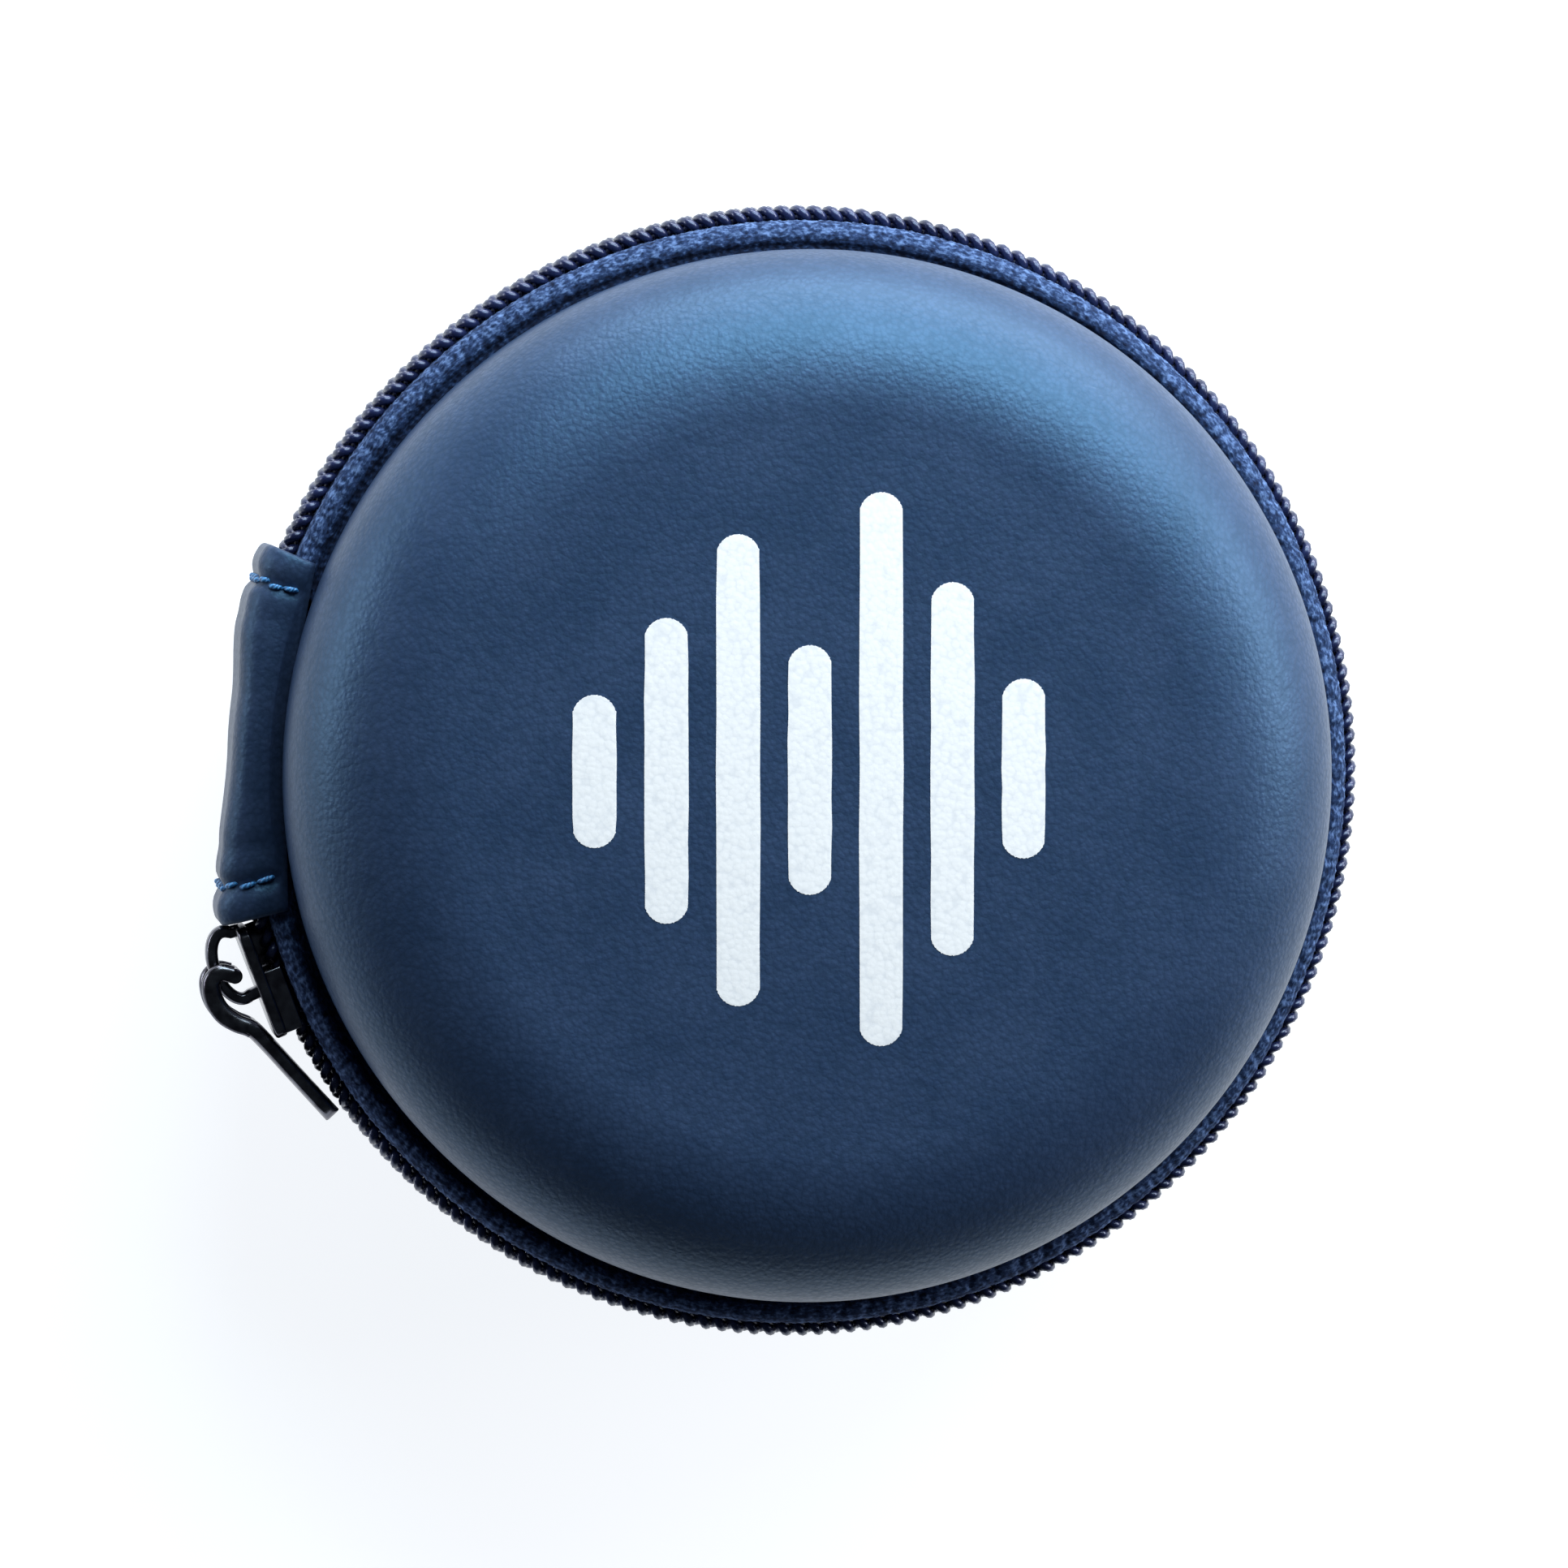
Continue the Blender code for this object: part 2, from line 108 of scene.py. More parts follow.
class Finish:
    """A material being put together round its Principled shader."""

    def __init__(self, name, **constants):
        self.material = bpy.data.materials.new(name)
        self.material.use_nodes = True
        self.nodes = self.material.node_tree.nodes
        self.shader = self.nodes["Principled BSDF"]
        self.set(**constants)

    def feed(self, socket, value):
        if isinstance(value, Signal):
            self.material.node_tree.links.new(value.socket, socket)
        elif isinstance(value, tuple) and len(value) == 3 and socket.type == "RGBA":
            socket.default_value = (*value, 1.0)
        else:
            socket.default_value = value

    def node(self, kind, settings=None, inputs=None, output=0):
        """Any node: its settings and ramp stops first, then the values or links of its sockets."""
        made = self.nodes.new("ShaderNode" + kind)
        for key, value in (settings or {}).items():
            if key != "stops":
                setattr(made, key, value)
        for index, (place, colour) in enumerate((settings or {}).get("stops", [])):
            elements = made.color_ramp.elements
            stop = elements[index] if index < len(elements) else elements.new(place)
            stop.position, stop.color = place, (*colour, 1.0)
        for key, value in (inputs or {}).items():
            self.feed(made.inputs[key], value)
        return Signal(self, made.outputs[output])

    def set(self, **values):
        """Sets or links sockets of the shader, named with _ for a space."""
        for key, value in values.items():
            self.feed(self.shader.inputs[key.replace("_", " ")], value)

    def place(self, kind="Object"):
        """Texture coordinates of a kind, or a signal that already is a place."""
        return kind if isinstance(kind, Signal) else self.node("TexCoord", output=kind)

    def noise(self, cell, detail=2.0, kind="Object", roughness=0.5):
        """Noise with features about one cell, in metres, across."""
        inputs = {"Vector": self.place(kind), "Scale": 1 / cell, "Detail": detail}
        return self.node("TexNoise", inputs={**inputs, "Roughness": roughness})

    def cells(self, cell, kind="Object", feature="F1"):
        return self.node(
            "TexVoronoi", {"feature": feature}, {"Vector": self.place(kind), "Scale": 1 / cell}
        )

    def axes(self, kind="UV"):
        split = self.nodes.new("ShaderNodeSeparateXYZ")
        self.feed(split.inputs[0], self.place(kind))
        return [Signal(self, socket) for socket in split.outputs]

    def blend(self, share, first, second):
        return self.node("Mix", {"data_type": "RGBA"}, {0: share, 6: first, 7: second}, output=2)

    def relief(self, height, depth, strength=1.0):
        inputs = {"Height": height, "Distance": depth, "Strength": strength}
        self.set(Normal=self.node("Bump", inputs=inputs))

    def coat(self, *pieces):
        for piece in pieces:
            piece.data.materials.clear()
            piece.data.materials.append(self.material)


def surface(name, points, closed=(False, True), uv=None, sharp=50):
    """A piece from grids of points, shape (copies, rows, columns, 3) or (rows, columns, 3).
    closed joins the last row or column to the first; uv is a length for each row and column,
    with one more where that way is closed. Points that meet, as at a pole, become one."""
    points = points.reshape(-1, *points.shape[-3:])
    copies, rows, columns = points.shape[:3]
    r, c = np.indices((rows - (not closed[0]), columns - (not closed[1]))).reshape(2, -1)
    corner_row, corner_column = np.stack([r, r, r + 1, r + 1], 1), np.stack([c, c + 1, c + 1, c], 1)
    faces = (corner_row % rows) * columns + corner_column % columns
    faces = (faces + np.arange(copies)[:, None, None] * rows * columns).reshape(-1, 4)
    mesh = bpy.data.meshes.new(name)
    mesh.from_pydata(points.reshape(-1, 3).tolist(), [], faces.tolist())
    if uv:
        layer = mesh.uv_layers.new(name="UVMap")
        corners = np.stack([uv[0][corner_row], uv[1][corner_column]], -1)
        layer.data.foreach_set("uv", np.tile(corners.ravel(), copies).astype(np.float32))
    bm = bmesh.new()
    bm.from_mesh(mesh)
    bmesh.ops.remove_doubles(bm, verts=bm.verts, dist=1e-7)
    bmesh.ops.recalc_face_normals(bm, faces=bm.faces)
    bm.to_mesh(mesh)
    bm.free()
    mesh.shade_smooth()
    mesh.set_sharp_from_angle(angle=math.radians(sharp))
    obj = bpy.data.objects.new(name, mesh)
    bpy.context.scene.collection.objects.link(obj)
    return obj


def turned(radius, height, side=1, count=AROUND):
    """Grid of a profile turned about Z: (r cos a, r sin a, middle + side h), a row for each
    profile point and a column for each of count angles."""
    angle = np.arange(count) * math.tau / count
    r, h = np.asarray(radius)[:, None], np.asarray(height)[:, None]
    return np.stack(
        [r * np.cos(angle), r * np.sin(angle), MIDDLE + side * h + 0 * angle], axis=-1
    )


def dish_line(depth, rim):
    """Half a dish's outline: a flat that falls by CROWN, a quarter ellipse, and the wall down to
    rim. Every point is moved inwards by depth along the outline's normal."""
    flat, turn = WALL - EDGE_WIDE, np.linspace(0, math.pi / 2, 33)
    r = np.concatenate([np.linspace(0, flat, 30)[:-1], flat + EDGE_WIDE * np.sin(turn)])
    h = np.concatenate([np.full(29, HALF_HEIGHT), HALF_HEIGHT - EDGE + EDGE * np.cos(turn)])
    h -= CROWN * np.minimum(r / flat, 1) ** 2 * np.clip((WALL - r) / EDGE_WIDE, 0, 1)
    run_r, run_h = np.gradient(r), np.gradient(h)
    size = np.hypot(run_r, run_h)
    r, h = r + depth * run_h / size, h - depth * run_r / size
    r[0], r[-1] = 0.0, WALL - depth
    return np.append(r, np.full(7, r[-1])), np.append(h, np.linspace(h[-1], rim, 8)[1:])


def dish(depth, thickness, rim):
    """Closed profile of one layer, from the axis out over its outer face, round the trimmed rim
    with a half circle, and back to the axis along its inner face."""
    round_rim = rim + 0.5 * thickness
    outer, inner = dish_line(depth, round_rim), dish_line(depth + thickness, round_rim)
    turn = np.linspace(0, math.pi, 9)[1:-1]
    edge_r = WALL - depth - 0.5 * thickness + 0.5 * thickness * np.cos(turn)
    edge_h = round_rim - 0.5 * thickness * np.sin(turn)
    return (
        np.concatenate([outer[0], edge_r, inner[0][::-1]]),
        np.concatenate([outer[1], edge_h, inner[1][::-1]]),
    )


def leather(name, deep, pale, gloss=0.6):
    """Matt pebbled PU leather: cells with fine wrinkles between them, cloudy colour, and painted
    shade in the grooves between the cells.
    """
    made = Finish(name, Specular_IOR_Level=gloss, Specular_Tint=(0.26, 0.62, 1.0, 1.0))
    pebble, fine, cloud = made.cells(0.42 * MM), made.noise(0.21 * MM, 3.0), made.noise(7 * MM, 3.0)
    speck = made.noise(0.9 * MM, 4.0, roughness=0.65)
    tone = made.blend((cloud * 0.55 + speck * 0.45).step(0.3, 0.7), deep, pale)
    # the grooves between the pebbles: a little rougher, and darker in colour as painted shade
    groove = pebble.step(0.25, 0.75)
    made.set(Base_Color=made.blend(groove * 0.35, tone, tuple(0.5 * x for x in deep)))
    made.set(Roughness=0.35 + fine * 0.1 + groove * 0.05)
    made.relief((1 - pebble) * 0.6 + fine * 0.5 + speck * 0.35, 0.06 * MM, 0.7)
    return made


shell_leather = leather("shell_leather", (0.016, 0.030, 0.074), (0.027, 0.045, 0.102))
for side, half in BODY.items():
    skin = surface(f"{half}_leather_skin", turned(*dish(0.0, SKIN, RIM), side))
    shell_leather.coat(skin)
    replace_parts(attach(skin, half), f"{half}_skin")

# ---- Print -------------------------------------------------------------------------------------
# White screen-printed ink in the middle of the lid: seven upright round-ended bars, like a sound
# level. The film is thin, a little ragged at its edges, and follows the leather.
VIEW_TURN = math.radians(4.6)  # of the view against the case's own axes
RIGHT = np.array([math.cos(VIEW_TURN), math.sin(VIEW_TURN), 0.0])
UP = np.array([-math.sin(VIEW_TURN), math.cos(VIEW_TURN), 0.0])
BAR_WIDTH, BAR_PITCH = 3.2 * MM, 5.2 * MM
BAR_HEIGHTS = np.array([11, 22, 34, 18, 40, 27, 13]) * MM
PRINT_CENTRE = np.array([-1.45, 1.0]) * MM  # along RIGHT and UP, from the lid's axis
INK = 0.03 * MM


def bar_grid():
    """Each bar is a stadium: rows run from its underside's middle out to the edge and back over
    the top to its middle line, at a share q of the half width."""
    turn = np.linspace(0, math.tau, 97)[:-1]
    half = 0.5 * BAR_WIDTH
    reach = (0.5 * BAR_HEIGHTS - half)[:, None, None]
    share = np.array([0, 1, 1.0, 0.96, 0.7, 0.35, 0])[None, :, None]
    lift = np.array([-1, -1, 0.9, 1, 1, 1, 1])[None, :, None] * INK
    bar = np.arange(len(BAR_HEIGHTS))[:, None, None]
    ragged = 1 + 0.012 * np.sin(31 * turn + 2 * bar) + 0.010 * np.sin(53 * turn + 5 * bar)
    across = half * share * ragged * np.cos(turn) + BAR_PITCH * (bar - 3)
    upward = half * share * ragged * np.sin(turn) + reach * np.clip(4 * np.sin(turn), -1, 1)
    across, upward = across + PRINT_CENTRE[0], upward + PRINT_CENTRE[1]
    flat = across[..., None] * RIGHT + upward[..., None] * UP
    skin_r, skin_h = dish_line(0.0, RIM)
    height = np.interp(np.hypot(flat[..., 0], flat[..., 1]), skin_r[:50], skin_h[:50])
    flat[..., 2] = MIDDLE + height + lift
    return flat


ink = Finish("white_ink", Roughness=0.55, Specular_IOR_Level=0.3)
pore, weave = ink.cells(0.46 * MM), ink.noise(0.3 * MM, 3.0)
bare = (pore + weave * 0.6).step(0.75, 1.25)
ink.set(Base_Color=ink.blend(bare, (0.72, 0.70, 0.75), (0.64, 0.63, 0.69)))
ink.relief((1 - pore) * 0.6 + weave * 0.5, 0.04 * MM, 0.4)
bars = surface("lid_print", bar_grid(), sharp=25)
ink.coat(bars)
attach(bars, "lid")

# ---- Foam shells -------------------------------------------------------------------------------
# Closed-cell EVA foam, 2.1 mm, moulded under each skin: it gives the dish its stiffness. Its
# trimmed edge shows as a pale-grained black line at the rim.
FOAM_DEPTH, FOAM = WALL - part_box("lid_foam_shell")[1].x, 2.1 * MM

foam = Finish("eva_foam", Roughness=0.9)
bubble = foam.cells(0.28 * MM)
foam.set(Base_Color=foam.blend(bubble, (0.030, 0.031, 0.034), (0.012, 0.012, 0.014)))
foam.relief(bubble, 0.06 * MM, 0.7)
for side, half in BODY.items():
    shell = surface(f"{half}_foam", turned(*dish(FOAM_DEPTH, FOAM, RIM), side, 160))
    foam.coat(shell)
    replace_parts(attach(shell, half), f"{half}_foam_shell")

# ---- Linings -----------------------------------------------------------------------------------
# Brushed knit glued inside the foam and stretched over its curve when the dish is moulded.
LINING_DEPTH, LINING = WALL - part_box("lid_lining")[1].x, 0.5 * MM


def knit(name, deep, pale, stitch):
    """Warp knit seen from its brushed side: rows of small loops under a fuzz of fibres."""
    made = Finish(name, Roughness=0.92, Sheen_Weight=0.35, Sheen_Roughness=0.5)
    x, y, z = made.axes("Object")
    turns = math.tau / stitch
    loops = ((x + z) * turns).sine() * ((y + z * 0.6) * (1.6 * turns)).sine()
    fuzz = made.noise(0.35 * MM, 4.0, roughness=0.7)
    height = loops * 0.25 + fuzz
    made.set(Base_Color=made.blend(height.step(0.25, 0.8), deep, pale))
    made.relief(height, 0.1 * MM, 0.8)
    return made


lining_knit = knit("brushed_knit", (0.020, 0.022, 0.032), (0.075, 0.082, 0.105), 0.9 * MM)
for side, half in BODY.items():
    layer = surface(f"{half}_knit_lining", turned(*dish(LINING_DEPTH, LINING, RIM), side, 160))
    lining_knit.coat(layer)
    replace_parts(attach(layer, half), f"{half}_lining")

# ---- Rim bindings and their seam ---------------------------------------------------------------
# A woven tape is folded over the raw edge of lining, foam and zip tape, and sewn through with one
# line of navy thread. The seam draws the binding in a little at each stitch.
BIND_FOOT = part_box("lid_rim_binding")[1].x
BIND_IN = BIND_FOOT - 4.4 * MM
BIND_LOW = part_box("lid_rim_binding")[0].z - MIDDLE
BIND_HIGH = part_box("lid_rim_binding")[1].z - MIDDLE
BIND = 0.4 * MM
STITCHES, STITCH_LENGTH = 84, 2.1 * MM
SEAM_LEVEL = 0.5 * (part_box("lid_seam_thread")[0].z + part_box("lid_seam_thread")[1].z) - MIDDLE
SEAM_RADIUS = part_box("lid_seam_thread")[1].x
THREAD = 0.2 * MM


def round_corner(r, h, radius, start, steps=6):
    """A quarter circle about (r, h), from start degrees towards start + 90."""
    a = np.radians(np.linspace(start, start + 90, steps))
    return np.stack([r + radius * np.cos(a), h + radius * np.sin(a)], 1)


def binding_section():
    """Closed outline of the folded tape: rounded top edge, rounded fold, flat foot."""
    half, fold = 0.5 * BIND, 0.9 * MM
    top = np.concatenate(
        [
            round_corner(BIND_IN + half, BIND_HIGH - half, half, 0, 5),
            round_corner(BIND_IN + half, BIND_HIGH - half, half, 90, 5)[1:],
        ]
    )
    down = np.stack([np.full(6, BIND_IN), np.linspace(BIND_HIGH - 0.6 * MM, BIND_LOW + fold, 6)], 1)
    outside = round_corner(BIND_IN + fold, BIND_LOW + fold, fold, 180, 8)
    out = np.stack([np.linspace(BIND_IN + fold, BIND_FOOT - half, 8)[1:], np.full(7, BIND_LOW)], 1)
    end = np.array([[BIND_FOOT, BIND_LOW + half], [BIND_FOOT - half, BIND_LOW + BIND]])
    inside = round_corner(BIND_IN + fold, BIND_LOW + fold, fold - BIND, 180, 6)[::-1]
    return np.concatenate([top, down, outside, out, end, inside])


def woven(name, deep, mid, pale, rib, painted_shade_span=None):
    """Ribbed woven tape, by its own lengths: ribs across it, fibres and a few pale flecks. Short of
    the first of the two given lengths its colour is darker, painted shade of the crease beside the
    skin; past the second it is a little lighter, a slight painted highlight on the shoulder."""
    made = Finish(name, Roughness=0.9, Specular_IOR_Level=0.25, Specular_Tint=(0.4, 0.6, 1.0, 1.0))
    along, over, _ = made.axes("UV")
    ribs = (along * (math.tau / rib)).sine() * 0.5 + 0.5
    picks = (over * (math.tau / (0.7 * rib))).sine() * 0.5 + 0.5
    drawn_out = made.node("CombineXYZ", inputs={0: along * 0.4, 1: over})
    fibre, patch = made.noise(0.2 * MM, 3.0, drawn_out, 0.6), made.noise(0.75 * MM, 2.0, "UV")
    tone = fibre * 0.65 + patch * 0.35
    # painted shade on the flat beside the skin, and a slight painted highlight on the shoulder
    if painted_shade_span:
        tone = tone + over.step(*painted_shade_span) * 0.13 - 0.11
    stops = [(0.36, deep), (0.5, mid), (0.66, pale)]
    made.set(Base_Color=made.node("ValToRGB", {"stops": stops}, {0: tone}))
    made.relief(ribs * picks * 0.5 + fibre * 0.7, 0.09 * MM, 0.8)
    return made


def sewing_thread(name, deep, pale):
    """Two-ply twisted thread: dark lines wind round it along its length."""
    made = Finish(name, Roughness=0.45)
    along, over, _ = made.axes("UV")
    ply = ((along * (1 / (0.42 * MM)) + over * 2) * math.tau).sine() * 0.5 + 0.5
    fibre = made.noise(0.12 * MM, 3.0)
    made.set(Base_Color=made.blend((ply * 0.6 + fibre * 0.5).step(0.25, 0.75), deep, pale))
    made.relief(ply + fibre * 0.4, 0.05 * MM, 0.7)
    return made


def thread_grid(path, radius, up, sides=8):
    """Tubes along paths of shape (copies, steps, 3): path + radius (cos a up' + sin a across),
    with up' square to the path. The radius may be given for each step."""
    run = np.gradient(path, axis=-2)
    run /= np.linalg.norm(run, axis=-1, keepdims=True)
    up = up - (up * run).sum(-1, keepdims=True) * run
    up /= np.linalg.norm(up, axis=-1, keepdims=True)
    across = np.cross(run, up)
    angle = np.arange(sides) * math.tau / sides
    size = np.asarray(radius)[..., None, None]
    ring = np.cos(angle)[:, None] * up[..., None, :] + np.sin(angle)[:, None] * across[..., None, :]
    return path[..., None, :] + size * ring


def at_angle(angle, radius, height):
    """Points (radius cos angle, radius sin angle, height)."""
    return np.stack([radius * np.cos(angle), radius * np.sin(angle), height + 0 * angle], -1)


def capped(points):
    """The grid with its first and last row drawn to their middles, which closes a tube."""
    ends = [points[..., i, :, :].mean(-2, keepdims=True)[..., None, :, :] for i in (0, -1)]
    width = points.shape[-2]
    first, last = (np.repeat(end, width, axis=-2) for end in ends)
    return np.concatenate([first, points, last], axis=-3)


binding_cloth = woven(
    "binding_tape", (0.006, 0.009, 0.022), (0.014, 0.021, 0.05), (0.05, 0.07, 0.13), 0.5 * MM
)
navy_thread = sewing_thread("navy_thread", (0.008, 0.013, 0.035), (0.04, 0.06, 0.13))
for side, half in BODY.items():
    section, columns = binding_section(), 504
    angle = np.arange(columns) * math.tau / columns
    grid = turned(section[:, 0], section[:, 1], side, columns)
    near_seam = np.exp(-(((section[:, 1] - SEAM_LEVEL) / (0.9 * MM)) ** 2))
    near_seam = near_seam * (section[:, 0] < BIND_IN + 0.2 * MM)
    draw = 1 + near_seam[:, None] * (0.0025 + 0.0016 * np.cos(STITCHES * angle))
    grid[..., :2] *= draw[..., None]
    steps = np.linalg.norm(np.diff(section, axis=0, append=section[:1]), axis=1)
    over = np.concatenate([[0], np.cumsum(steps)])
    along = np.linspace(0, math.tau * BIND_IN, columns + 1)
    tape = surface(f"{half}_binding", grid, (True, True), (over, along))
    binding_cloth.coat(tape)
    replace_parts(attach(tape, half), f"{half}_rim_binding")

    # Each stitch is a short arc that dives into the binding at both ends.
    t = np.linspace(0, 1, 11)
    angle = (np.arange(STITCHES)[:, None] + 0.5 + 0.41 * (2 * t - 1)) * math.tau / STITCHES
    rise = np.sin(math.pi * t) ** 0.5
    path = at_angle(angle, SEAM_RADIUS + 0.35 * MM - 0.42 * MM * rise, MIDDLE + side * SEAM_LEVEL)
    stitch = thread_grid(path, THREAD * (0.55 + 0.45 * rise), -path * [1, 1, 0])
    u, v = np.linspace(0, STITCH_LENGTH, 13), np.linspace(0, 1, 9)
    seam = surface(f"{half}_binding_seam", capped(stitch), (False, True), (u, v))
    navy_thread.coat(seam)
    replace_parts(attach(seam, half), f"{half}_seam_thread")

# ---- Zip tapes ---------------------------------------------------------------------------------
# Melange woven polyester tape, sewn flat under the rim, rounded over a corded shoulder and turned
# upright behind the coil. The row's seam pinches the shoulder every 2 mm.
TAPE, TAPE_RADIUS, TAPE_START = 0.5 * MM, 40.45 * MM, 0.35 * MM
SHOULDER, TAPE_LEVEL, TAPE_INNER = 1.3 * MM, 3.8 * MM, 35.7 * MM
ZIP_FROM, ZIP_TO = math.radians(195.0), math.radians(525.0)
PARKED = math.radians(205.3)
PARTING = 0.95 * MM
RIB = 0.61 * MM  # one rib of the tape's weave
PART_FROM, PART_OVER = math.radians(0.7), math.radians(2.0)  # before the slider's middle


def parting(angle):
    """How far a row is pushed off the mid-plane: whole from the strip to the slider's wedge."""
    x = np.clip((PARKED - PART_FROM - angle) / PART_OVER, 0, 1)
    return PARTING * x * x * (3 - 2 * x)


def tape_grid(side):
    """Rows go round the case and columns round the tape's section. The outer face carries the
    weave's relief, a cord under the shoulder, and the pinches; the inner face is plain."""
    angle = np.linspace(ZIP_FROM, ZIP_TO, 1500)[:, None]
    flat, bend = TAPE_RADIUS - SHOULDER - TAPE_INNER, SHOULDER * math.pi / 2
    upright = TAPE_LEVEL - SHOULDER - TAPE_START
    whole = flat + bend + upright
    over = np.concatenate([[0, 0.55 * flat], np.linspace(0.8 * flat, whole, 30)])[None]
    turn = np.clip((over - flat) / SHOULDER, 0, math.pi / 2)
    past = np.clip(over - flat - bend, 0, None) * (1 - parting(angle) / upright)
    r = TAPE_INNER + np.minimum(over, flat) + SHOULDER * np.sin(turn) + 0 * angle
    h = TAPE_LEVEL - SHOULDER * (1 - np.cos(turn)) - past
    u = angle * TAPE_RADIUS
    slant = u + 0.45 * (over - flat)
    cord = 0.2 * MM * np.exp(-(((over - flat - 0.62 * bend) / (0.75 * MM)) ** 2))
    pinch = 0.14 * MM * np.exp(-((((slant / (2.0 * MM)) % 1) - 0.5) / 0.13) ** 2)
    near = np.exp(-(((over - flat - 0.3 * bend) / (1.2 * MM)) ** 2))
    weave = 0.055 * MM * np.sin(slant * math.tau / RIB) * np.cos(over * math.tau / (0.66 * MM))
    groove = 0.4 * MM * np.exp(-(((over - flat + 0.35 * MM) / (0.35 * MM)) ** 2))
    lift = 0.5 * TAPE + cord - groove - pinch * near + weave * (over > 0.7 * flat)
    outer = np.stack([r + lift * np.sin(turn), h + lift * np.cos(turn)], -1)
    back = slice(None, None, -3)
    inner = np.stack([r - 0.5 * TAPE * np.sin(turn), h - 0.5 * TAPE * np.cos(turn)], -1)[:, back]
    section = np.concatenate([outer, inner], axis=1)
    points = at_angle(angle, section[..., 0], MIDDLE + side * section[..., 1])
    lengths = np.concatenate([over[0], over[0][back], over[0][:1]])
    return capped(points), (np.concatenate([u[:1, 0], u[:, 0], u[-1:, 0]]), lengths)


zip_cloth = woven(
    "zip_tape_weave",
    (0.003, 0.004, 0.014),
    (0.014, 0.028, 0.080),
    (0.095, 0.155, 0.32),
    rib=RIB,
    # painted shade of the crease beside the skin, up to the tape's shoulder
    painted_shade_span=(3.2 * MM, 4.2 * MM),
)
for side, half in BODY.items():
    grid, uv = tape_grid(side)
    tape = surface(f"{half}_tape", grid, (False, True), uv, sharp=70)
    zip_cloth.coat(tape)
    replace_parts(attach(tape, half), f"{half}_zip_tape")

# ---- Zip coils ---------------------------------------------------------------------------------
# Each row is one nylon monofilament wound into a flattened coil and sewn to the tape's edge. The
# two rows' heads meet on the mid-plane, half a pitch apart.
PITCH, WIRE = 1.2 * MM, 0.37 * MM
COIL_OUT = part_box("base_zip_coil")[1].x
COIL_IN = COIL_OUT - 1.4 * MM
COIL_HEAD, COIL_TAIL = -0.1 * MM, 2.1 * MM


def coil_grid(side):
    """Centre line by its phase p: radius m + a cos p, height n + b sin p, and an angle that goes
    round clockwise with p and a share of cos p, so that the tails slant and the heads don't."""
    middle, swing = 0.5 * (COIL_OUT + COIL_IN), 0.5 * (COIL_OUT - COIL_IN) - WIRE
    loops = int((ZIP_TO - ZIP_FROM) * middle / PITCH)
    p = np.linspace(0, loops * math.tau, loops * 14 + 1)
    advance = PITCH * (p / math.tau + 0.5 * (side < 0) - 0.13 * np.cos(p))
    angle = ZIP_TO - (advance + 0.2 * MM) / middle
    rise = 0.5 * (COIL_TAIL - COIL_HEAD) - WIRE
    height = 0.5 * (COIL_TAIL + COIL_HEAD) + rise * np.sin(p) + parting(angle)
    path = at_angle(angle, middle + swing * np.cos(p), MIDDLE + side * height)
    radial = at_angle(angle, 1.0 + 0 * p, 0.0)
    up = np.cos(p)[:, None] * radial + np.sin(p)[:, None] * np.array([0, 0, side])
    return capped(thread_grid(path, WIRE + 0 * p, up, 8))


nylon = Finish("coil_nylon", Specular_IOR_Level=0.6, Specular_Tint=(0.6, 0.7, 1.0, 1.0))
nylon.set(Coat_Roughness=0.2)
haze, tint = nylon.noise(0.35 * MM, 3.0), nylon.noise(4 * MM, 2.0)
nylon.set(Base_Color=nylon.blend(tint.step(0.3, 0.7), (0.006, 0.008, 0.032), (0.012, 0.017, 0.062)))
nylon.set(Roughness=0.2 + haze * 0.16, Coat_Weight=haze * 0.2)
nylon.relief(haze, 0.02 * MM, 0.5)
for side, half in BODY.items():
    coil = surface(f"{half}_coil", coil_grid(side))
    nylon.coat(coil)
    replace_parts(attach(coil, half), f"{half}_zip_coil")

# ---- Hinge strip -------------------------------------------------------------------------------
# A leather strip wraps the zip's two ends from the lid's seam over to the base's. Its ends are
# folded under into a hem and sewn down, so they stand open like the mouth of a sleeve.
STRIP_SPAN, STITCH_INSET = math.radians(18.85), math.radians(3.6)
STRIP_RADIUS, STRIP_INNER = 42.6 * MM, 39.3 * MM
STRIP_LEVEL, STRIP_SHOULDER = 4.75 * MM, 2.0 * MM
STRIP, HEM = 0.6 * MM, math.radians(0.6)  # thickness, and the rolled edge of the hem
DIVE = 0.7 * MM  # how far the strip's edges sink into the seams


def strip_line(count):
    """The strip's middle line in (radius, height) from the lid's seam over both shoulders to the
    base's, with its outward direction, evenly spaced along its length."""
    turn = np.linspace(0, math.pi / 2, 40)
    arc_r = STRIP_RADIUS - STRIP_SHOULDER + STRIP_SHOULDER * np.sin(turn)
    arc_h = STRIP_LEVEL - STRIP_SHOULDER + STRIP_SHOULDER * np.cos(turn)
    r = np.concatenate([np.linspace(STRIP_INNER, arc_r[0], 12)[:-1], arc_r])
    h = np.concatenate([np.full(11, STRIP_LEVEL), arc_h])
    r, h = np.concatenate([r, r[::-1]]), np.concatenate([h, -h[::-1]])
    length = np.concatenate([[0], np.cumsum(np.hypot(np.diff(r), np.diff(h)))])
    even = np.linspace(0, length[-1], count)
    r, h = np.interp(even, length, r), np.interp(even, length, h)
    run = np.stack([np.gradient(r), np.gradient(h)], 1)
    run /= np.linalg.norm(run, axis=1, keepdims=True)
    return r, h, np.stack([-run[:, 1], run[:, 0]], 1), even


